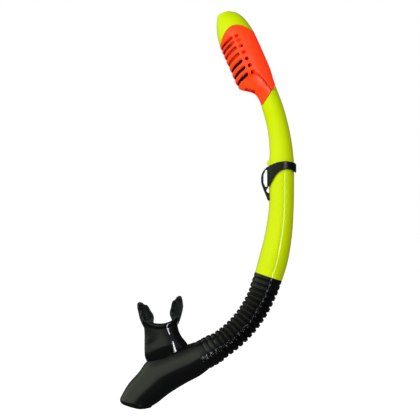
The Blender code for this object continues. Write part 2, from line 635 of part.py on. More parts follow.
def mouthpiece(finish):
    """Soft boot over the boss, a lip shield with a saddle rim, and two bite lugs."""
    place = frame_at(*MOUTH_FRAME)
    heights = [-14.0, -5.0, 0.0, 5.0, 11.0, 17.0, 22.0, 26.0, 29.0]
    outer = [boot_ring(h, 0.0) for h in heights] + [boot_ring(RIM_HEIGHT, 0.0, saddle=RIM_SADDLE)]
    inner = [boot_ring(h, BOOT_WALL) for h in heights] + [
        boot_ring(RIM_HEIGHT, BOOT_WALL + 0.4, saddle=RIM_SADDLE)]
    pivot = place.inverted() @ bend_pivot()
    made = loft("mouthpiece", outer + inner[::-1], True, finish, pivot, place)
    lug = [(11.0, 31.0), (19.5, 31.5), (22.6, 39.0), (25.2, 47.0), (25.7, 55.0), (24.4, 59.4),
           (20.0, 60.0), (17.6, 58.4), (14.4, 56.2), (12.8, 54.6), (11.6, 50.0), (9.2, 44.5),
           (8.7, 40.5), (10.2, 35.0)]
    mirrored = [(-x, z) for x, z in lug]
    join(made, prisms("lug_form", [lug, mirrored], [(-3.2, 3.2)], place))
    cut(made, mouth_oval("boss_clearance", 19.5 + GAP, 18.0 + GAP, 9.9 + GAP, -20.0, BOSS_TOP + GAP))
    cut(made, loft("chamber_clearance", chamber_outside(GAP, 0.5, NIPPLE_RADIUS)))
    return made


def purge_seat(finish):
    """Perforated disc that the purge diaphragm closes onto."""
    radius = PURGE_BORE - GAP
    hole = STEM_RADIUS + GAP + 0.1
    profile = [(radius, SEAT_BACK), (radius, SEAT_FACE), (hole, SEAT_FACE), (hole, SEAT_BACK)]
    made = turned("purge_seat", profile, purge_frame(), 36, True, finish)
    holes = bmesh.new()
    for k in range(6):
        turn = Matrix.Rotation(k * math.pi / 3, 4, "Z") @ Matrix.Translation((6.6, 0, 0))
        skin_between(holes, [oval(turn, 2.7, 2.7, 16, h) for h in (SEAT_FACE - 4.0, SEAT_BACK + 4.0)],
                     False)
    cut(made, add_object("seat_holes", holes, purge_frame()))
    return made


def purge_diaphragm(finish):
    """Thin disc on the outside of the seat, held by a stem with a bulb behind the seat."""
    top = SEAT_FACE - GAP
    bulb = [(STEM_RADIUS, SEAT_BACK + 2.2), (1.9, SEAT_BACK + 1.6), (STEM_RADIUS, SEAT_BACK + 1.2)]
    disc = [(STEM_RADIUS, top), (10.8, top), (10.9, top - 0.5), (2.0, top - 1.0)]
    return turned("purge_diaphragm", bulb + disc, purge_frame(), 28, False, finish)


def purge_cover(finish):
    """Domed grille in the lower rim, with a skirt that holds it in the bore."""
    radius = PURGE_BORE - GAP
    profile = [(radius, 6.2), (radius, 1.0), (radius - 1.2, 0.5), (6.0, -0.1), (0.8, -0.3),
               (0.8, 1.3), (6.0, 1.5), (radius - 1.6, 2.0), (radius - 1.4, 6.2)]
    made = turned("purge_cover", profile, purge_frame(), 36, True, finish)
    slots = bmesh.new()
    for k in range(6):
        turn = Matrix.Rotation((k + 0.5) * math.pi / 3, 4, "Z")
        slot = [Vector((x, y, 0)) for x, y in ((3.4, -0.9), (9.6, -1.5), (9.6, 1.5), (3.4, 0.9))]
        skin_between(slots, [[turn @ (p + Vector((0, 0, h))) for p in slot] for h in (-3.0, 4.0)],
                     False)
    cut(made, add_object("cover_slots", slots, purge_frame()))
    return made


def main():
    for item in list(bpy.data.objects):
        bpy.data.objects.remove(item)
    yellow = material("yellow_plastic", YELLOW, 0.3)
    orange = material("orange_plastic", ORANGE, 0.35)
    gloss = material("black_gloss_plastic", BLACK, 0.15)
    satin = material("black_satin_plastic", BLACK, 0.4)
    rubber = material("black_silicone", BLACK, 0.3)
    grey = material("grey_plastic", GREY, 0.5)
    steel = material("stainless_steel", STEEL, 0.25, 1.0)
    barrel(yellow)
    splash_cage(orange)
    top_cap(yellow)
    throat_tube(orange)
    pivot_rod("hinge_pin", PIN_RADIUS, 8.9, steel)
    float_lever(grey)
    seal_flap(rubber)
    valve_float(satin)
    strap_keeper(satin)
    hose_nipple(satin)
    flex_hose(rubber)
    chamber(gloss)
    mouthpiece(rubber)
    purge_seat(satin)
    purge_diaphragm(rubber)
    purge_cover(gloss)


main()
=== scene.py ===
"""Studio picture of a dry-top snorkel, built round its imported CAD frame.

Shapes are designed in millimetres in the row frame and turned into metres by new_piece. The tube
bends in the XZ plane, its mirror plane; the camera looks along +Y.
"""

import math

import bpy
from mathutils import Matrix, Vector


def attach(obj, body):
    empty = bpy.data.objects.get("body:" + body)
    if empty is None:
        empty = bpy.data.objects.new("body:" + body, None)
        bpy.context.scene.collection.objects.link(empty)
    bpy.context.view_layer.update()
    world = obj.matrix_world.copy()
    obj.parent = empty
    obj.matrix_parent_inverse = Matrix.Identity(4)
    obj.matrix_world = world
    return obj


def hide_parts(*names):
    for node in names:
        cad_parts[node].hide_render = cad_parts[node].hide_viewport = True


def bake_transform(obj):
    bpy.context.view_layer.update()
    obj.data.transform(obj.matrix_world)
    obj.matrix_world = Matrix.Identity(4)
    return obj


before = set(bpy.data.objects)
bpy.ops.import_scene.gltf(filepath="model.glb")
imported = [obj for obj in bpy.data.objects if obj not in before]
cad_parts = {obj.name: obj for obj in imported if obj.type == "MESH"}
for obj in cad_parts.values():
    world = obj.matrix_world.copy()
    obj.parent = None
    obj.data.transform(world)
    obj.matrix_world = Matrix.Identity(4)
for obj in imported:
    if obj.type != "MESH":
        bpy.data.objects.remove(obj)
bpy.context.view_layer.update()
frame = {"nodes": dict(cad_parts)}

MM = 0.001
GAP = 0.3  # clearance between pieces that fit together
FLIP = Matrix.Rotation(math.pi, 4, "Y")

# The tube's centreline, as stretches of (length, degrees turned towards -X).
TUBE_X = 16.0
UPWARD = ((18.0, 0.0), (72.2, 21.0))
BARREL_DOWN = ((18.0, 0.0), (92.8, 18.3))
UPPER_CUFF = 18.0
RIDGED_LENGTH = 82.2
LOWER_CUFF = 20.8
HOSE_DOWN = ((UPPER_CUFF, 2.4), (RIDGED_LENGTH, 37.8), (LOWER_CUFF, 4.2))
DOWNWARD = BARREL_DOWN + HOSE_DOWN
BARREL_TOP = -sum(length for length, _ in UPWARD)
BARREL_END = sum(length for length, _ in BARREL_DOWN)
HOSE_END = sum(length for length, _ in DOWNWARD)

# Barrel: its radius at distances down the tube, the lug's outline and the seam at its top end.
BARREL_RADII = ((-90.0, 11.6), (-60.0, 11.9), (-30.0, 13.1), (-16.0, 14.0), (36.0, 14.0),
                (60.0, 15.0), (90.0, 16.2), (110.8, 15.9))
BARREL_WALL = 1.5
STOP_LUG = [(-0.3, 16.4), (0.4, 20.6), (4.2, 22.4), (5.0, 15.2), (0.6, 15.2)]
SEAM_RISE = 4.6
SEAM_SLOPE = 36.0

# Head, in its own frame: z up the head's axis from the barrel's top, x to the back. A reach is
# the distance from the axis to the outside, at heights.
HEAD_WALL = 1.6
CROWN = 109.0
CROWN_RISE = 1.4
FRONT_REACH = ((-10.0, 11.3), (4.0, 11.3), (10.0, 12.6), (14.0, 15.2), (18.5, 21.2), (22.0, 26.2),
               (25.0, 28.2), (31.0, 29.2), (45.0, 29.7), (72.0, 31.0), (80.0, 30.4), (88.0, 29.3),
               (100.0, 25.6), (109.0, 21.2))
BACK_REACH = ((-10.0, 11.6), (18.0, 11.9), (32.0, 12.9), (45.0, 12.5), (58.0, 11.9), (73.0, 11.0),
              (80.0, 10.2), (88.0, 8.5), (96.6, 5.6), (105.0, 0.0), (109.0, -6.0))
SIDE_REACH = ((-10.0, 11.3), (26.0, 18.0), (40.0, 19.0), (66.0, 19.0), (80.0, 18.2), (92.0, 15.4),
              (102.0, 10.8), (109.0, 4.0))
NECK_REACH = ((-10.0, 11.3), (4.0, 11.3), (34.0, 15.5))
NECK_BLEND = 4.0
NECK_ARCH = (-7.0, 33.4)  # x and height where the swollen sides start highest
NECK_FALLS = (0.01, 0.16)  # how that start falls away, towards the front and the back
ARCH_TOP = 91.2
ARCH_X = -10.0
ARCH_FALL = 0.036

# Cage openings, lowest row first: the height of each row's window and of its slot's back end.
ROW_HEIGHTS = (35.3, 43.2, 51.2, 59.3, 67.0, 73.4, 79.0)
SLOT_BACK = math.radians(103.5)
SLOT_FALL = 6.5  # how far a slot falls over one radian towards the front
SLOT_HEIGHT = 3.6
SLOT_TAPER = 0.015
SLOT_ENDS = 0.45  # part of its height that a slot keeps at its very ends
SLOT_FLARE = 1.1  # how much wider a slot is at the outside, over its top edge
FLARE_DEPTH = 0.7
NOTCH_DEPTH = 0.8  # how far the front spine lies back from the ribs
NOTCH_HALF = 0.3  # turn from the head's front to a notch's end
OUTSIDE = -1.5  # inset that lies clear outside the head
THROUGH = 4.0  # inset that lies clear inside the shell
SPINE_HALF = 0.06  # turn from the head's front to where the slots end beside the spine
BOTH_SIDES = ((SLOT_BACK, math.pi - SPINE_HALF), (math.pi + SPINE_HALF, 2 * math.pi - SLOT_BACK))
WINDOW_X = -7.7
WINDOW_LEAN = 0.057
WINDOW_WIDTH = 4.0
DRAIN = [(-24.0, 20.0), (-14.0, 11.0), (-12.4, 15.4), (-20.0, 21.8)]
WEB_HALF = 0.8  # the web stands in the mirror plane and closes off the view through the slots
WEB = [(-27.0, 26.0), (-25.0, 22.0), (-20.4, 18.5), (-17.0, 16.0), (-13.4, 13.0), (-10.0, 13.0),
       (-10.0, 28.0), (-19.0, 28.0), (-19.0, 30.4), (-23.4, 30.4), (-25.2, 33.2), (-25.4, 60.4),
       (-24.6, 65.2), (-23.0, 66.0), (-23.0, 71.5), (-12.0, 71.5), (-6.0, 74.8), (-4.0, 80.0),
       (-10.0, 86.0), (-22.0, 86.0), (-26.8, 80.0), (-28.0, 76.4), (-29.9, 75.0), (-29.8, 72.0),
       (-29.4, 66.0), (-28.7, 45.0), (-28.0, 28.0)]
BAFFLE_EDGES = (54.8, 70.4)  # plates behind the upper slots, inside the skin
BAFFLE_INSETS = (1.9, 3.3)

# Keeper, with its slot for the strap.
KEEPER_BORE = 14.3
KEEPER_OUTSIDE = 16.5
SLOT_WIDTH = 4.4

# Hose: the radii over its ridges and in its valleys, at distances down it, and the nipple inside.
CRESTS = ((0.0, 16.2), (15.0, 16.5), (20.0, 16.2), (98.0, 16.2), (101.5, 17.0), (121.0, 17.3))
VALLEYS = ((0.0, 14.9), (15.0, 14.6), (19.5, 13.2), (98.0, 13.2), (101.5, 15.3), (121.0, 16.6))
RIDGES = 13
RIDGE_POWER = 0.8  # under 1, which rounds the crests and keeps the valleys sharp
RIDGE_SQUEEZE = 0.15  # part of a ridge that the inside of the bend takes away
GROOVE_HALF = 0.12  # groove round each crest: half its width, as a part of a ridge's length
GROOVE_DEPTH = 0.35  # and its depth, as a part of a ridge's height
END_RINGS = (0.6, 2.8, 5.0)  # fine rings: their distances from the chamber
END_RING_HALF = 0.35
END_RING_DEPTH = 0.4
HOSE_BORE = 12.0
CUFF_BORE = 13.4
NIPPLE_RADIUS = 12.8
NIPPLE_BORE = 11.2
NIPPLE_LENGTH = 10.0

# Chamber: sections down its axis, each an x, a z, a heading in degrees, a half width and a half
# depth, below the hose's end.
LOWER_CUFF_RADIUS = 17.2
SPIGOT_HEADING = 63.0
CHAMBER_SECTIONS = ((-84.0, -203.6, 64.0, 19.0, 16.8), (-101.4, -211.1, 58.0, 20.6, 17.8),
                    (-119.6, -220.6, 48.5, 22.2, 18.4), (-129.4, -230.4, 41.5, 20.2, 18.2),
                    (-139.2, -240.3, 30.0, 19.7, 17.6), (-147.2, -250.2, 14.0, 18.4, 16.8))
CHAMBER_WALL = 2.0
RIM_DROP = 5.5
RIM_DRAW = (4.0, 2.8)  # how far the rounded rim draws in, in the mirror plane and across it
RIM_LIFT = 3.4  # how much higher the rim lies at its back
PURGE_BORE = 13.2
SEAT_STEP = 1.6  # ledge that the purge seat rests against
SEAT_HEIGHT = 12.8

# Mouthpiece, in its own frame: z up its axis, x towards the hose.
MOUTH_FRAME = (-111.9, -194.1, 9.0)
BOOT_LEFT = ((-14.0, 23.0), (-5.0, 25.2), (0.0, 26.0), (17.0, 23.6), (31.0, 21.2), (40.0, 23.0))
BOOT_RIGHT = ((-14.0, 24.0), (-5.0, 24.6), (4.0, 24.1), (16.0, 17.8), (26.0, 15.8), (32.0, 17.8),
              (40.0, 21.0))
BOOT_DEPTH = ((-14.0, 9.6), (-4.0, 11.4), (8.0, 13.2), (20.0, 12.3), (40.0, 12.3))
BOOT_LEAN = 0.35  # how much higher its waist lies towards the hose
BOOT_WALL = 2.4
RIM_HEIGHT = 31.8
RIM_SADDLE = 0.02
BOSS = (19.5, 18.0, 9.9)  # reach to the left, to the right and across the mirror plane
PORT = (17.3, 15.8, 7.7)
BOSS_TOP = 9.0
LUG = [(25.3, 47.0), (25.8, 54.0), (25.2, 59.4), (22.6, 60.4), (19.4, 59.2), (17.6, 56.6),
       (14.6, 55.8), (13.0, 53.4), (11.8, 49.4), (9.4, 44.4), (8.9, 40.4), (10.4, 35.0),
       (10.6, 31.0)]
# Outer edge of each lug's root, where it grows out of the boot's rim.
LUG_ROOTS = {-1: [(20.8, 28.5), (23.4, 35.6), (24.8, 41.0)],
             1: [(16.6, 28.5), (19.4, 33.0), (22.8, 40.0)]}
LUG_FACE = [(13.2, 38.0), (19.4, 39.4), (22.6, 47.0), (23.4, 54.4), (22.4, 57.6), (20.2, 56.6),
            (18.4, 54.4), (15.4, 53.8), (13.8, 49.0), (11.4, 43.8), (11.0, 41.0)]
LUG_HALF = 3.2
FACE_DEPTH = 0.6
PIT_ROWS = 6
PIT_COLUMNS = 3
PIT_START = (14.6, 40.4)
PIT_PITCH = (3.1, 2.9)
PIT_LEAN = 0.95  # how far each row of pits lies outwards of the row below
# Each pit's radius at distances from the lug's face.
PIT_PROFILE = ((0.7, -1.5), (1.1, -1.0), (1.3, 0.0), (1.3, 1.0))


# ---------------------------------------------------------------- geometry helpers

def smooth_curve(points, x):
    """Height at x of a smooth curve through (x, height) points, level beyond both ends."""
    if x <= points[0][0]:
        return points[0][1]
    if x >= points[-1][0]:
        return points[-1][1]
    i = max(k for k, point in enumerate(points) if point[0] <= x)

    def slope(k):
        """Slope at a point, from its neighbours."""
        low, high = max(k - 1, 0), min(k + 1, len(points) - 1)
        return (points[high][1] - points[low][1]) / (points[high][0] - points[low][0])

    (x0, y0), (x1, y1) = points[i], points[i + 1]
    span = x1 - x0
    t = (x - x0) / span
    bend = span * (slope(i) * t * (1 - t) ** 2 - slope(i + 1) * t * t * (1 - t))
    return y0 + (y1 - y0) * ease(t) + bend


def ease(x):
    """Smooth step from 0 to 1 as x goes from 0 to 1."""
    x = min(max(x, 0.0), 1.0)
    return x * x * (3 - 2 * x)


def frame_at(x, z, tilt):
    """Frame in the XZ plane whose +Z leans from world +Z towards -X by the tilt."""
    return Matrix.Translation((x, 0, z)) @ Matrix.Rotation(-math.radians(tilt), 4, "Y")


def walk(stretches, distance, side):
    """Frame reached by going a distance up the local Z axis through (length, degrees) stretches."""
    here = Matrix.Identity(4)
    for length, degrees in stretches:
        part = min(distance, length)
        turn = side * math.radians(degrees) * part / length
        step = Vector((0, 0, part))
        if turn:
            radius = part / turn
            step = Vector((-radius * (1 - math.cos(turn)), 0, radius * math.sin(turn)))
        here = here @ Matrix.Translation(step) @ Matrix.Rotation(-turn, 4, "Y")
        distance -= part
    return here @ Matrix.Translation((0, 0, distance))


def tube_at(distance):
    """Frame on the tube's centreline at a distance down it from the keeper; +Z looks up the tube."""
    home = Matrix.Translation((TUBE_X, 0, 0))
    if distance < 0:
        return home @ walk(UPWARD, -distance, 1)
    return home @ FLIP @ walk(DOWNWARD, distance, -1) @ FLIP


HEAD = tube_at(BARREL_TOP)
MOUTH = frame_at(*MOUTH_FRAME)


def turns(sides):
    """Evenly spaced angles once round."""
    return [2 * math.pi * k / sides for k in range(sides)]


def oval(place, half_width, half_depth, sides, height=0.0, shift=0.0):
    """Ring of points on an ellipse across a frame's Z axis."""
    return [place @ Vector((shift + half_width * math.cos(a), half_depth * math.sin(a), height))
            for a in turns(sides)]


def new_piece(name, points, faces):
    """Smooth-shaded object from points in millimetres."""
    mesh = bpy.data.meshes.new(name)
    mesh.from_pydata([tuple(c * MM for c in point) for point in points], [], faces)
    mesh.validate()
    mesh.shade_smooth()
    made = bpy.data.objects.new(name, mesh)
    bpy.context.scene.collection.objects.link(made)
    return made


def skin(name, rings, closed=False):
    """Closed body skinned over rings. A closed run joins its last ring to its first, an open one
    gets a fan over each end."""
    points = [point for ring in rings for point in ring]
    sides = len(rings[0])
    count = len(rings)
    faces = []
    for i in range(count if closed else count - 1):
        low, high = i * sides, ((i + 1) % count) * sides
        for k in range(sides):
            after = (k + 1) % sides
            faces.append((low + k, low + after, high + after, high + k))
    if not closed:
        for ring, order in ((0, -1), (count - 1, 1)):
            centre = len(points)
            points.append(sum(rings[ring], Vector()) / sides)
            for k in range(sides):
                pair = (ring * sides + k, ring * sides + (k + 1) % sides)
                faces.append((centre,) + pair[::order])
    made = new_piece(name, points, faces)
    face_outward(made)
    return made


def face_outward(piece):
    """Turns a closed body inside out if its faces point in."""
    volume = 0.0
    vertices = piece.data.vertices
    for face in piece.data.polygons:
        corners = [vertices[k].co for k in face.vertices]
        for k in range(1, len(corners) - 1):
            volume += corners[0].dot(corners[k].cross(corners[k + 1]))
    if volume < 0:
        piece.data.flip_normals()


def prism(name, outline, near, far, place):
    """Body of an (x, z) outline extruded along Y between two depths."""
    return skin(name, [[place @ Vector((x, y, z)) for x, z in outline] for y in (near, far)])


def settle(piece):
    """Makes a piece's modifiers part of its mesh."""
    graph = bpy.context.evaluated_depsgraph_get()
    mesh = bpy.data.meshes.new_from_object(piece.evaluated_get(graph))
    piece.modifiers.clear()
    piece.data = mesh
    mesh.shade_smooth()


def shape_with(piece, operation, tools, solver="MANIFOLD"):
    """Boolean of a piece with tools, which are used up."""
    for tool in tools:
        modifier = piece.modifiers.new(tool.name, "BOOLEAN")
        modifier.operation = operation
        modifier.solver = solver
        modifier.object = tool
    settle(piece)
    for tool in tools:
        bpy.data.objects.remove(tool)


def round_edges(piece, grain, passes):
    """Rebuilds a body on an even mesh of a grain size and rounds its edges, as a mould does."""
    remesh = piece.modifiers.new("even", "REMESH")
    remesh.mode = "VOXEL"
    remesh.voxel_size = grain * MM
    smooth = piece.modifiers.new("round", "SMOOTH")
    smooth.factor = 0.5
    smooth.iterations = passes
    settle(piece)


def wrap_outline(corners, radius, steps=4):
    """An (x, z) outline with each corner rounded off by a radius."""
    made = []
    count = len(corners)
    for k in range(count):
        here = Vector(corners[k])
        before, after = Vector(corners[k - 1]) - here, Vector(corners[(k + 1) % count]) - here
        reach = min(radius, before.length / 2.1, after.length / 2.1)
        start = here + before.normalized() * reach
        end = here + after.normalized() * reach
        for i in range(steps + 1):
            t = i / steps
            made.append(tuple(start * (1 - t) ** 2 + here * 2 * t * (1 - t) + end * t * t))
    return made


# ---------------------------------------------------------------- head

def neck_arch(x):
    """Height of the arch where the head's bulged sides rise out of its slimmer neck."""
    top_x, top = NECK_ARCH
    to_front, to_back = NECK_FALLS
    fall = to_back if x > top_x else to_front
    return top - fall * (x - top_x) ** 2


def head_point(turn, height, inset):
    """Point of the head's outside at a turn and height, drawn in by an inset."""
    front = smooth_curve(FRONT_REACH, height) - inset
    back = smooth_curve(BACK_REACH, height) - inset
    middle, half = (back - front) / 2, (back + front) / 2
    x = middle + half * math.cos(turn)
    neck = smooth_curve(NECK_REACH, height)
    swell = ease((height - neck_arch(x)) / NECK_BLEND + 0.5)
    depth = neck + (smooth_curve(SIDE_REACH, height) - neck) * swell - inset
    return Vector((x, depth * math.sin(turn), height))


def cap_seam(x):
    """Height of the arched seam between the cage and the cap."""
    return ARCH_TOP - ARCH_FALL * (x - ARCH_X) ** 2


def barrel_seam(x):
    """Height of the slanted seam between the barrel and the cage."""
    return SEAM_RISE + x * math.tan(math.radians(SEAM_SLOPE))


def seam_height(seam, turn, inset):
    """Height where the head's outside meets a seam, at a turn."""
    height = seam(0.0)
    for _ in range(30):
        height += 0.5 * (seam(head_point(turn, height, inset).x) - height)
    return height


def head_rings(low_seam, high_seam, inset, rows, sides):
    """Rings over the head between two seams, which they follow at their ends."""
    ends = [(seam_height(low_seam, a, inset), seam_height(high_seam, a, inset))
            for a in turns(sides)]
    rings = []
    for row in range(rows + 1):
        t = row / rows
        rings.append([HEAD @ head_point(a, low + (high - low) * t, inset)
                      for a, (low, high) in zip(turns(sides), ends)])
    return rings


def slot_height(height):
    """How tall the slots are in the row at a height."""
    return SLOT_HEIGHT - SLOT_TAPER * (height - ROW_HEIGHTS[0])


def skin_patch(name, first, last, low, high, outside, inside, tapered=True):
    """Body that follows the head's skin between two turns, two insets and two edges, which are
    heights at the slots' back ends and fall as slots do. Tapered ends are rounded off."""
    steps = 18
    middle = (low + high) / 2
    rings = []
    for k in range(steps + 1):
        turn = first + (last - first) * k / steps
        fall = SLOT_FALL * (min(turn, 2 * math.pi - turn) - SLOT_BACK)
        opening = 1.0
        if tapered:
            opening = SLOT_ENDS + (1 - SLOT_ENDS) * ease(min(k, steps - k) / 1.5)
        down = middle + (low - middle) * opening - fall
        up = middle + (high - middle) * opening - fall
        rings.append([HEAD @ head_point(turn, z, inset) for z, inset in
                      ((down, outside), (up, outside), (up, inside), (down, inside))])
    return skin(name, rings)


def slot_tools(row, height):
    """Cutters of one slot: through both sides, flared over its top edge, with a notch in front."""
    half = slot_height(height) / 2
    low, high = height - half, height + half
    front = math.pi
    tools = [skin_patch(f"notch_{row}", front - NOTCH_HALF, front + NOTCH_HALF, low, high,
                        OUTSIDE, NOTCH_DEPTH)]
    for side, (first, last) in enumerate(BOTH_SIDES):
        tools.append(skin_patch(f"slot_{row}_{side}", first, last, low, high, OUTSIDE, THROUGH))
        tools.append(skin_patch(f"flare_{row}_{side}", first, last, low, high + SLOT_FLARE,
                                OUTSIDE, FLARE_DEPTH))
    return tools


def window_outline(height):
    """Square window through both of the head's sides, behind the slot at a height."""
    half = slot_height(height) / 2 + 0.1
    x = WINDOW_X - WINDOW_LEAN * (height - ROW_HEIGHTS[0])
    side = WINDOW_WIDTH / 2
    return [(x - side, height - half), (x + side, height - half), (x + side, height + half),
            (x - side, height + half)]


def make_cage():
    """Slotted shell: swollen sides over a slim neck, rounded ribs, a drain under the chin, and a
    web and two splash baffles inside."""
    def foot(x):
        return barrel_seam(x) + GAP

    rows, sides = 70, 120
    outer = head_rings(foot, cap_seam, 0.0, rows, sides)
    inner = head_rings(foot, cap_seam, HEAD_WALL, rows, sides)
    cage = skin("cage_shell", outer + inner[::-1], closed=True)
    tools = []
    for row, height in enumerate(ROW_HEIGHTS):
        tools += slot_tools(row, height)
        tools.append(prism(f"window_{row}", wrap_outline(window_outline(height), 0.6), -30.0, 30.0,
                           HEAD))
    for side in (-1, 1):
        tools.append(prism(f"drain_{side}", wrap_outline(DRAIN, 1.0), side * 2.0, side * 9.0,
                           HEAD))
    shape_with(cage, "DIFFERENCE", tools)
    baffles = [skin_patch(f"baffle_{side}", first, last, *BAFFLE_EDGES, *BAFFLE_INSETS, False)
               for side, (first, last) in enumerate(BOTH_SIDES)]
    shape_with(cage, "UNION", baffles + [prism("web", WEB, -WEB_HALF, WEB_HALF, HEAD)])
    round_edges(cage, 0.44, 4)
    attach(cage, "barrel")
    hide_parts("splash_cage")
    return cage


def make_cap():
    """Domed cap: a hollow shell over the cage with a fairly sharp crest at its front."""
    def foot(x):
        return cap_seam(x) + GAP

    def crown(_):
        return CROWN

    rows, sides, dome_steps = 50, 128, 12
    outer = head_rings(foot, crown, 0.0, rows, sides)
    inner = head_rings(foot, crown, HEAD_WALL, rows, sides)
    front, back = smooth_curve(FRONT_REACH, CROWN), smooth_curve(BACK_REACH, CROWN)
    depth = smooth_curve(SIDE_REACH, CROWN)
    dome = []
    for k in range(1, dome_steps):
        t = 1 - k / dome_steps
        rise = CROWN + CROWN_RISE * math.sqrt(1 - t * t)
        dome.append(oval(HEAD, (back + front) / 2 * t, depth * t, sides, rise, (back - front) / 2))
    down = HEAD.to_3x3() @ Vector((0, 0, -HEAD_WALL))
    under = [[point + down for point in ring] for ring in dome]
    lip = [p.lerp(q, 0.25) for p, q in zip(outer[0], inner[0])]
    cap = skin("cap_shell", under[::-1] + inner[::-1][1:] + [lip] + outer + dome)
    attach(cap, "barrel")
    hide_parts("top_cap")
    return cap


# ---------------------------------------------------------------- barrel

def make_barrel():
    """Curved tube with a slanted top end, rounded lips and the keeper's stop lug."""
    sides, rows = 112, 150

    def ring(t, inset):
        """Ring a part of the way down the barrel, slanted at its top end."""
        points = []
        for a in turns(sides):
            radius = smooth_curve(BARREL_RADII, BARREL_TOP) - inset
            top = BARREL_TOP - barrel_seam(radius * math.cos(a))
            s = BARREL_END + (top - BARREL_END) * t
            radius = smooth_curve(BARREL_RADII, s) - inset
            points.append(tube_at(s) @ Vector((radius * math.cos(a), radius * math.sin(a), 0)))
        return points

    steps = [k / rows for k in range(rows + 1)]
    outer = [ring(t, 0.0) for t in steps]
    inner = [ring(t, BARREL_WALL) for t in steps]
    barrel = skin("barrel_shell", [ring(0.0, 0.3)] + outer + [ring(1.0, 0.3)] + inner[::-1],
                  closed=True)
    lug = prism("stop_lug", wrap_outline(STOP_LUG, 0.8), -3.0, 3.0, Matrix.Identity(4))
    axis = Matrix.Translation((TUBE_X, 0, 0))
    shape_with(lug, "DIFFERENCE", [skin("lug_bore", [oval(axis, 12.6, 12.6, 64, h)
                                                     for h in (5.0, 30.0)])])
    round_edges(lug, 0.3, 3)
    shape_with(barrel, "UNION", [lug])
    barrel.data.set_sharp_from_angle(angle=math.radians(40))
    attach(barrel, "barrel")
    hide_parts("barrel")
    return barrel


# ---------------------------------------------------------------- keeper

def make_keeper():
    """Slanted band round the barrel, with a pad and a slotted outer arm."""
    axis = Matrix.Translation((TUBE_X, 0, 0))
    flat = Matrix.Identity(4)

    def rod(name, radius, low, high):
        """Upright cylinder about the band's axis."""
        return skin(name, [oval(axis, radius, radius, 96, h) for h in (low, high)])

    # What is cut away above and below the band, seen square on to the mirror plane.
    over = [(-12.0, 9.0), (-2.0, 12.2), (2.7, 15.2), (8.0, 17.4), (13.0, 18.9), (20.4, 19.6),
            (26.0, 18.9), (30.0, 18.0), (34.0, 15.6), (34.0, 40.0), (-12.0, 40.0)]
    under = [(-12.0, -14.5), (-0.6, -12.0), (3.5, -4.6), (8.2, 3.2), (11.0, 6.4), (14.0, 8.6),
             (17.0, 10.0), (20.4, 10.6), (25.0, 10.2), (30.0, 8.2), (34.0, 6.2), (34.0, -40.0),
             (-12.0, -40.0)]
    pad = [(0.0, 13.0), (6.0, 14.0), (6.0, -1.0), (2.4, -7.0), (0.0, -10.6)]
    arm = prism("keeper_arm", keeper_arm(), -5.0, 5.0, flat)
    shape_with(arm, "DIFFERENCE", [rod("arm_bore", KEEPER_BORE + 0.4, -40.0, 40.0)])
    keeper = rod("keeper", KEEPER_OUTSIDE, -14.0, 24.0)
    front = [(-10.0, -30.0), (0.5, -30.0), (0.5, 30.0), (-10.0, 30.0)]  # the pad's place
    shape_with(keeper, "DIFFERENCE", [prism("over", over, -30.0, 30.0, flat),
                                      prism("under", under, -30.0, 30.0, flat),
                                      prism("front", front, -20.0, 20.0, flat)])
    shape_with(keeper, "UNION", [prism("pad", pad, -7.0, 7.0, flat), arm])
    shape_with(keeper, "DIFFERENCE", [rod("bore", KEEPER_BORE, -40.0, 40.0)])
    round_edges(keeper, 0.36, 3)
    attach(keeper, "keeper")
    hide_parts("strap_keeper")
    return keeper


def keeper_arm():
    """Outline of the arm: out from the band's top, down past the slot and back to the barrel."""
    outside = [(5.0, 15.9), (1.0, 14.2), (-1.4, 12.6), (-3.2, 10.6), (-4.9, 8.4), (-6.0, 6.0),
               (-6.8, 3.0), (-7.0, 0.0), (-6.9, -3.0), (-6.3, -6.0), (-5.2, -9.4), (-3.9, -13.0),
               (-0.9, -20.0), (0.6, -24.2), (2.2, -24.2)]
    barb = [(2.2, -15.8), (0.4, -15.4), (-1.4, -13.4), (0.6, -9.6), (0.4, -8.6)]
    slot = [(-2.2, -9.0), (-SLOT_WIDTH, -4.4), (-SLOT_WIDTH, 4.4), (-2.4, 8.6), (-2.2, 10.2),
            (0.2, 10.2), (5.0, 12.0)]
    return outside + barb + slot


# ---------------------------------------------------------------- hose

def hose_radius(s, turn):
    """Outer radius at a distance down the tube and a turn from the outside of its bend: rounded
    ridges with a fine groove round each crest, lower on the cuffs and where the bend squeezes
    them, and fine rings next to the chamber."""
    along = s - BARREL_END
    phase = (along - UPPER_CUFF) / (RIDGED_LENGTH / RIDGES)
    low, high = smooth_curve(VALLEYS, along), smooth_curve(CRESTS, along)
    low += RIDGE_SQUEEZE * (high - low) * (0.5 - 0.5 * math.cos(turn))
    groove = max(0.0, 1 - abs(phase % 1.0 - 0.5) / GROOVE_HALF)
    ridge = abs(math.sin(math.pi * phase)) ** RIDGE_POWER - GROOVE_DEPTH * groove
    left = HOSE_END - s
    rings = sum(math.exp(-((left - at) / END_RING_HALF) ** 2) for at in END_RINGS)
    return low + (high - low) * ridge - END_RING_DEPTH * rings


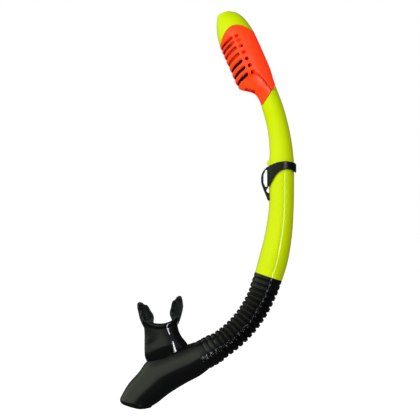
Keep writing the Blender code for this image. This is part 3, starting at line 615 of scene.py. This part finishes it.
def make_hose():
    """Corrugated hose, curved between the barrel's end and the chamber."""
    start, end = BARREL_END + GAP, HOSE_END - GAP
    rows, sides = 500, 96
    outer = []
    for k in range(rows + 1):
        s = start + (end - start) * k / rows
        place = tube_at(s)
        ring = []
        for a in turns(sides):
            radius = hose_radius(s, a)
            ring.append(place @ Vector((radius * math.cos(a), radius * math.sin(a), 0)))
        outer.append(ring)
    inner = []
    for k in range(0, rows + 1, 4):
        s = start + (end - start) * k / rows
        in_a_cuff = min(s - start, end - s) < NIPPLE_LENGTH + 3.0
        radius = CUFF_BORE if in_a_cuff else HOSE_BORE
        inner.append(oval(tube_at(s), radius, radius, sides))
    hose = skin("corrugated_hose", outer + inner[::-1], closed=True)
    tube_at(BARREL_END + UPPER_CUFF).translation * MM
    tube_at(HOSE_END - LOWER_CUFF).translation * MM
    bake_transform(hose)
    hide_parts("flex_hose")
    return hose


# ---------------------------------------------------------------- chamber

def purge_frame():
    """Frame at the middle of the lower rim; +Z looks up into the chamber."""
    x, z, heading, _, _ = CHAMBER_SECTIONS[-1]
    return frame_at(x, z, -heading) @ Matrix.Translation((0, 0, -RIM_DROP))


def chamber_rings(grow, spigot, sides=128):
    """Rings of the chamber's outside, grown all over, below a round spigot for the hose."""
    mouth = tube_at(HOSE_END)
    top = (mouth.translation.x, mouth.translation.z, SPIGOT_HEADING, LOWER_CUFF_RADIUS,
           LOWER_CUFF_RADIUS)
    sections = (top,) + CHAMBER_SECTIONS
    along = [0.0]
    for (x0, z0, *_), (x1, z1, *_) in zip(sections, sections[1:]):
        along.append(along[-1] + math.hypot(x1 - x0, z1 - z0))
    rings = [oval(mouth, NIPPLE_RADIUS, NIPPLE_RADIUS, sides, spigot),
             oval(mouth, NIPPLE_RADIUS, NIPPLE_RADIUS, sides, grow)]
    steps = 60
    for k in range(steps + 1):
        u = along[-1] * k / steps
        x, z, heading, width, depth = [
            smooth_curve([(a, section[i]) for a, section in zip(along, sections)], u)
            for i in range(5)]
        rings.append(oval(frame_at(x, z, -heading), width + grow, depth + grow, sides))
    rim = purge_frame()
    width, depth = CHAMBER_SECTIONS[-1][3:]
    rim_steps = 12
    for k in range(1, rim_steps + 1):
        angle = math.pi / 2 * k / rim_steps
        height = RIM_DROP * (1 - math.sin(angle)) - grow * math.sin(angle)
        draw = 1 - math.cos(angle)
        ring = []
        for a in turns(sides):
            x = (width - RIM_DRAW[0] * draw + grow) * math.cos(a)
            y = (depth - RIM_DRAW[1] * draw + grow) * math.sin(a)
            lift = RIM_LIFT * k / rim_steps * ease((x - 4.0) / 14.0)
            ring.append(rim @ Vector((x, y, height + lift)))
        rings.append(ring)
    return rings


def cavity_rings(sides=96):
    """Rings of the air space: the spigot's bore, the hollow inside, and the purge bore."""
    mouth = tube_at(HOSE_END)
    rings = [oval(mouth, NIPPLE_BORE, NIPPLE_BORE, sides, height) for height in (20.0, -1.0)]
    for x, z, heading, width, depth in CHAMBER_SECTIONS[:-1]:
        rings.append(oval(frame_at(x, z, -heading), width - CHAMBER_WALL, depth - CHAMBER_WALL,
                          sides))
    rim = purge_frame()
    narrow = PURGE_BORE - SEAT_STEP
    for radius, height in ((narrow, SEAT_HEIGHT + 2.2), (narrow, SEAT_HEIGHT),
                           (PURGE_BORE, SEAT_HEIGHT - 0.01), (PURGE_BORE, -10.0)):
        rings.append(oval(rim, radius, radius, sides, height))
    return rings


def mouth_oval(name, left, right, depth, low, high):
    """Straight oval plug along the mouthpiece's axis."""
    middle, half = (right - left) / 2, (right + left) / 2
    return skin(name, [oval(MOUTH, half, depth, 96, h, middle) for h in (low, high)])


def make_chamber():
    """Moulded elbow with the hose spigot, the oval mouth boss and the purge valve's bore."""
    chamber = skin("chamber_shell", chamber_rings(0.0, NIPPLE_LENGTH))
    shape_with(chamber, "UNION", [mouth_oval("boss", *BOSS, -12.0, BOSS_TOP)])
    shape_with(chamber, "DIFFERENCE", [
        skin("cavity", cavity_rings()),
        mouth_oval("port", *PORT, -14.0, BOSS_TOP + 3.0)])
    chamber.data.set_sharp_from_angle(angle=math.radians(35))
    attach(chamber, "chamber")
    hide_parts("chamber")
    return chamber


# ---------------------------------------------------------------- mouthpiece

def boot_ring(height, inset, saddle=0.0, sides=128):
    """Section of the mouthpiece at a height, its rim rising towards the lugs by the saddle."""
    left = smooth_curve(BOOT_LEFT, height) - inset
    right = smooth_curve(BOOT_RIGHT, height) - inset
    ring = []
    for a in turns(sides):
        x = (right - left) / 2 + (left + right) / 2 * math.cos(a)
        depth = smooth_curve(BOOT_DEPTH, height - BOOT_LEAN * x) - inset
        ring.append(MOUTH @ Vector((x, depth * math.sin(a), height + saddle * x * x)))
    return ring


def boot_rings():
    """Outer and inner rings of the boot, with a rounded bead round its rim."""
    outer, inner = [], []
    rows = 46
    foot, neck = -14.0, 20.0
    bead_height, bead_depth = 3.6, 0.8
    for k in range(rows + 1):
        height = foot + (RIM_HEIGHT - foot) * k / rows
        rise = ease((height - neck) / (RIM_HEIGHT - neck))
        below = RIM_HEIGHT - height
        bead = bead_depth * ease((bead_height - below) / bead_depth)
        outer.append(boot_ring(height, -bead, RIM_SADDLE * rise))
        inner.append(boot_ring(height, BOOT_WALL, RIM_SADDLE * rise))
    return outer, inner


def lug_pits(side):
    """Places of a staggered lattice of pits on a lug's face."""
    first_x, first_z = PIT_START
    across, up = PIT_PITCH
    pits = []
    for row in range(PIT_ROWS):
        for column in range(PIT_COLUMNS):
            x = first_x + PIT_LEAN * row + across * (column - 0.5 - 0.5 * (row % 2))
            z = first_z + up * row
            if inside(LUG_FACE, x, z):
                pits.append((side * x, z))
    return pits


def inside(outline, x, z):
    """True if a point lies inside an outline."""
    found = False
    for (x0, z0), (x1, z1) in zip(outline, outline[1:] + outline[:1]):
        if (z0 > z) != (z1 > z) and x < x0 + (x1 - x0) * (z - z0) / (z1 - z0):
            found = not found
    return found


def make_mouthpiece():
    """Soft boot over the boss, a lip shield with a bead round its rim, and two bite lugs."""
    outer, inner = boot_rings()
    mouthpiece = skin("mouthpiece_skin", outer + inner[::-1], closed=True)
    lugs, recesses = [], []
    for side in (-1, 1):
        outline = wrap_outline([(side * x, z) for x, z in LUG_ROOTS[side] + LUG], 1.2)
        lugs.append(prism(f"lug_{side}", outline, -LUG_HALF, LUG_HALF, MOUTH))
        face = wrap_outline([(side * x, z) for x, z in LUG_FACE], 1.5)
        for half in (-1, 1):
            depth = half * (LUG_HALF - FACE_DEPTH)
            recesses.append(prism(f"face_{side}_{half}", face, depth, half * (LUG_HALF + 2.0),
                                  MOUTH))
            for k, (x, z) in enumerate(lug_pits(side)):
                pit = MOUTH @ Matrix.Translation((x, depth, z))
                pit = pit @ Matrix.Rotation(math.pi / 2, 4, "X")
                rings = [oval(pit, radius, radius, 16, h) for radius, h in PIT_PROFILE]
                recesses.append(skin(f"pit_{side}_{half}_{k}", rings))
    shape_with(mouthpiece, "UNION", lugs)
    shape_with(mouthpiece, "DIFFERENCE", recesses + [
        mouth_oval("boss_clearance", *(reach + GAP for reach in BOSS), -20.0, BOSS_TOP + GAP),
        skin("chamber_clearance", chamber_rings(GAP, 0.5))])
    round_edges(mouthpiece, 0.4, 2)
    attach(mouthpiece, "chamber")
    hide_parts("mouthpiece")
    return mouthpiece


# ---------------------------------------------------------------- materials

BLACK = (0.004, 0.0055, 0.0048)
GRAIN_HEIGHT = 0.2 * MM
EDGE_BEND = (0.53, 0.62)  # pointiness where an edge starts to wear and where it is fully worn
# How far the occlusion probe reaches for the orange's painted shade and painted glow.
PAINTED_SHADE_REACH = 8 * MM
FULL_PAINTED_SHADE, NO_PAINTED_SHADE = 0.68, 0.97  # openness where the painted shade is full, in a slot's depths, and where it ends, on a free face
# Painted shade: the deep red that the orange turns in its sheltered slots.
PAINTED_SHADE_RED = (0.2, 0.0, 0.0, 1.0)
# Strength of the orange's painted glow where it is open.
PAINTED_GLOW_STRENGTH = 0.5


def moulded(name, colour, roughness, specular=0.5, mottle=0.05, grain=0.06, wear=0.06, painted_glow=None):
    """Moulded plastic or rubber: slight mottling, an uneven polish, fine grain and paler edges. A
    fluorescent one also gets a painted glow in the open and painted deep-red shade where sheltered."""
    made = bpy.data.materials.new(name)
    made.use_nodes = True
    nodes, links = made.node_tree.nodes, made.node_tree.links
    shader = nodes["Principled BSDF"]
    place = nodes.new("ShaderNodeTexCoord").outputs["Object"]

    def noise(scale, detail):
        """Cloudy value with so many patches in a metre."""
        node = nodes.new("ShaderNodeTexNoise")
        node.inputs["Scale"].default_value = scale
        node.inputs["Detail"].default_value = detail
        links.new(place, node.inputs["Vector"])
        return node.outputs["Fac"]

    def mix(factor, first, second):
        """Colour between two, each one a constant or another node's."""
        node = nodes.new("ShaderNodeMix")
        node.data_type = "RGBA"
        links.new(factor, node.inputs["Factor"])
        for socket, value in ((node.inputs[6], first), (node.inputs[7], second)):
            if isinstance(value, tuple):
                socket.default_value = value
            else:
                links.new(value, socket)
        return node.outputs[2]

    def shade(amount):
        """The base colour, lighter or darker."""
        return tuple(min(1.0, c * amount) for c in colour) + (1.0,)

    clouds = spread(made, noise(28.0, 3.0), 0.3, 0.7, 0.0, 1.0)
    body = mix(clouds, shade(1 - mottle), shade(1 + mottle))
    edge = nodes.new("ShaderNodeNewGeometry").outputs["Pointiness"]
    edges = spread(made, edge, *EDGE_BEND, 0.0, wear)
    pale = tuple(c + (1 - c) * 0.35 for c in colour) + (1.0,)
    wear_and_painted_shade = mix(edges, body, pale)
    polish = spread(made, noise(60.0, 4.0), 0.3, 0.7, roughness * 0.85, roughness * 1.15)
    links.new(polish, shader.inputs["Roughness"])
    bump = nodes.new("ShaderNodeBump")
    bump.inputs["Strength"].default_value = grain
    bump.inputs["Distance"].default_value = GRAIN_HEIGHT
    links.new(noise(2200.0, 2.0), bump.inputs["Height"])
    links.new(bump.outputs["Normal"], shader.inputs["Normal"])
    shader.inputs["Specular IOR Level"].default_value = specular
    # Painted light: occlusion turns sheltered places a painted deep-red shade and gives open faces a
    # painted glow.
    if painted_glow:
        painted_shade_probe = nodes.new("ShaderNodeAmbientOcclusion")
        painted_shade_probe.inputs["Distance"].default_value = PAINTED_SHADE_REACH
        painted_shade_probe.samples = 8
        painted_light_openness = spread(made, painted_shade_probe.outputs["AO"], FULL_PAINTED_SHADE, NO_PAINTED_SHADE, 0.0, 1.0)
        wear_and_painted_shade = mix(painted_light_openness, PAINTED_SHADE_RED, wear_and_painted_shade)
        shader.inputs["Emission Color"].default_value = painted_glow + (1.0,)
        links.new(spread(made, painted_light_openness, 0.0, 1.0, 0.0, PAINTED_GLOW_STRENGTH),
                  shader.inputs["Emission Strength"])
    links.new(wear_and_painted_shade, shader.inputs["Base Color"])
    return made


def spread(owner, source, low, high, new_low, new_high):
    """Maps a value from one range to another, held at its ends."""
    tree = owner.node_tree
    node = tree.nodes.new("ShaderNodeMapRange")
    for socket, value in (("From Min", low), ("From Max", high), ("To Min", new_low),
                          ("To Max", new_high)):
        node.inputs[socket].default_value = value
    tree.links.new(source, node.inputs["Value"])
    return node.outputs["Result"]


def steel(name):
    """Brushed stainless steel."""
    made = moulded(name, (0.6, 0.6, 0.58), 0.25, wear=0.0)
    made.node_tree.nodes["Principled BSDF"].inputs["Metallic"].default_value = 1.0
    return made


def dress(material, *pieces):
    """Gives pieces a material in place of what they had."""
    for piece in pieces:
        piece.data.materials.clear()
        piece.data.materials.append(material)


# ---------------------------------------------------------------- studio

KEY_PLACE = (-0.86, -1.42, 0.35)
STRIP_PLACE = (0.78, -1.5, -0.4)
LIT_MIDDLE = (-0.064, 0.0, -0.035)
ROOM_FILL = (0.38, 0.38, 0.38, 1.0)
BACKDROP = (1.0, 1.0, 1.0, 1.0)
LEFT_WALL = (1.03, 1.12, 0.88, 1.0)
FRONT_WALL = (0.32, 0.32, 0.46, 1.0)
DARK = (0.05, 0.05, 0.05, 1.0)
# The walls from left to right: the turn from straight ahead of the snorkel, and the shade there.
WALLS = ((-2.6, DARK), (-1.8, LEFT_WALL), (-0.1, LEFT_WALL), (0.3, FRONT_WALL),
         (0.8, FRONT_WALL), (1.0, DARK))
# Where the walls fade into the dark below and above, as the height of a unit direction.
WALL_ENDS = ((-0.16, -0.04), (1.0, 0.6))


def area_light(name, place, width, height, power):
    """Rectangular light of a size in metres, turned to the middle of the snorkel."""
    lamp = bpy.data.lights.new(name, "AREA")
    lamp.shape = "RECTANGLE"
    lamp.size, lamp.size_y = width, height
    lamp.energy = power
    made = bpy.data.objects.new(name, lamp)
    bpy.context.scene.collection.objects.link(made)
    made.location = place
    towards = Vector(LIT_MIDDLE) - Vector(place)
    made.rotation_euler = towards.to_track_quat("-Z", "Y").to_euler()
    return made


def light_studio():
    """Soft key from the front left that gives no gloss, a thin strip from the right that gives
    only gloss, and the room."""
    key = area_light("key", KEY_PLACE, 1.3, 1.3, 20.0)
    key.visible_glossy = False
    strip = area_light("strip", STRIP_PLACE, 0.06, 1.3, 18.0)
    strip.visible_diffuse = False
    world = bpy.data.worlds.new("studio")
    bpy.context.scene.world = world
    world.use_nodes = True
    nodes, links = world.node_tree.nodes, world.node_tree.links
    nodes.clear()
    path = nodes.new("ShaderNodeLightPath")
    shades = []
    for colour in (ROOM_FILL, room_gloss(world), BACKDROP):
        background = nodes.new("ShaderNodeBackground")
        if isinstance(colour, tuple):
            background.inputs["Color"].default_value = colour
        else:
            links.new(colour, background.inputs["Color"])
        shades.append(background.outputs[0])
    for ray in ("Is Glossy Ray", "Is Camera Ray"):
        choose = nodes.new("ShaderNodeMixShader")
        links.new(path.outputs[ray], choose.inputs[0])
        links.new(shades.pop(0), choose.inputs[1])
        links.new(shades.pop(0), choose.inputs[2])
        shades.insert(0, choose.outputs[0])
    links.new(shades[0], nodes.new("ShaderNodeOutputWorld").inputs["Surface"])


def room_gloss(world):
    """Colour of the room as glossy surfaces see it, by direction: a bright wall on the left, a
    dimmer bluish one in front, and dark on the right and below."""
    nodes, links = world.node_tree.nodes, world.node_tree.links
    axes = nodes.new("ShaderNodeSeparateXYZ")
    links.new(nodes.new("ShaderNodeTexCoord").outputs["Generated"], axes.inputs[0])
    behind = nodes.new("ShaderNodeMath")
    behind.operation = "MULTIPLY"
    behind.inputs[1].default_value = -1.0
    links.new(axes.outputs["Y"], behind.inputs[0])
    azimuth = nodes.new("ShaderNodeMath")
    azimuth.operation = "ARCTAN2"
    links.new(axes.outputs["X"], azimuth.inputs[0])
    links.new(behind.outputs[0], azimuth.inputs[1])
    walls = nodes.new("ShaderNodeValToRGB")
    links.new(spread(world, azimuth.outputs[0], -math.pi, math.pi, 0.0, 1.0), walls.inputs[0])
    while len(walls.color_ramp.elements) < len(WALLS):
        walls.color_ramp.elements.new(0.5)
    for stop, (turn, colour) in zip(walls.color_ramp.elements, WALLS):
        stop.position = 0.5 + turn / (2 * math.pi)
        stop.color = colour
    lit = walls.outputs["Color"]
    for bottom, top in WALL_ENDS:
        above = nodes.new("ShaderNodeMix")
        above.data_type = "RGBA"
        links.new(spread(world, axes.outputs["Z"], bottom, top, 0.0, 1.0), above.inputs["Factor"])
        above.inputs[6].default_value = DARK
        links.new(lit, above.inputs[7])
        lit = above.outputs[2]
    return lit


def make_floor():
    """Pale seamless floor, well below the held snorkel."""
    mesh = bpy.data.meshes.new("floor")
    reach, level = 20.0, -0.42
    mesh.from_pydata([(-reach, -reach, level), (reach, -reach, level), (reach, reach, level),
                      (-reach, reach, level)], [], [(0, 1, 2, 3)])
    floor = bpy.data.objects.new("floor", mesh)
    bpy.context.scene.collection.objects.link(floor)
    paper = moulded("pale_paper", (0.8, 0.8, 0.8), 0.7, wear=0.0, mottle=0.01)
    shader = paper.node_tree.nodes["Principled BSDF"]
    shader.inputs["Emission Color"].default_value = (1, 1, 1, 1)
    shader.inputs["Emission Strength"].default_value = 0.75
    dress(paper, floor)
    floor.visible_glossy = False
    floor.visible_diffuse = False


def place_camera():
    """Long lens square on to the mirror plane, far enough back to see a given width in metres."""
    lens, sensor, width = 135.0, 36.0, 0.4712
    data = bpy.data.cameras.new("camera")
    data.lens, data.sensor_width = lens, sensor
    camera = bpy.data.objects.new("camera", data)
    bpy.context.scene.collection.objects.link(camera)
    camera.location = (-0.0643, -width * lens / sensor, -0.0348)
    camera.rotation_euler = (math.pi / 2, 0, 0)
    bpy.context.scene.camera = camera
    bpy.context.scene.view_settings.view_transform = "Standard"


# ---------------------------------------------------------------- the snorkel

def build():
    """Every piece with its material. Pieces that stay as CAD nodes are only dressed."""
    yellow = moulded("yellow_plastic_look", (0.74, 0.95, 0.0), 0.1, specular=0.14, mottle=0.02,
                     wear=0.03)
    # The orange carries a painted glow and a painted deep-red shade in its slots.
    orange = moulded("orange_plastic_look", (1.0, 0.075, 0.0), 0.35, mottle=0.03, wear=0.1,
                     painted_glow=(1.0, 0.004, 0.0))
    gloss = moulded("black_gloss_look", BLACK, 0.2, specular=0.45)
    satin = moulded("black_satin_look", BLACK, 0.3, specular=0.24)
    rubber = moulded("black_silicone_look", BLACK, 0.1, specular=0.34)
    ribbed = moulded("hose_silicone_look", (0.003, 0.004, 0.0036), 0.12, specular=0.5, wear=0.03)
    nodes = frame["nodes"]
    dress(yellow, make_barrel(), make_cap())
    dress(orange, make_cage(), nodes["throat_tube"])
    dress(satin, make_keeper(), nodes["valve_float"], nodes["hose_nipple"], nodes["purge_seat"])
    dress(rubber, make_mouthpiece(), nodes["seal_flap"], nodes["purge_diaphragm"])
    dress(ribbed, make_hose())
    dress(gloss, make_chamber(), nodes["purge_cover"])
    dress(moulded("grey_plastic_look", (0.1, 0.1, 0.1), 0.5), nodes["float_lever"])
    dress(steel("stainless_steel_look"), nodes["hinge_pin"])


build()
make_floor()
light_studio()
place_camera()
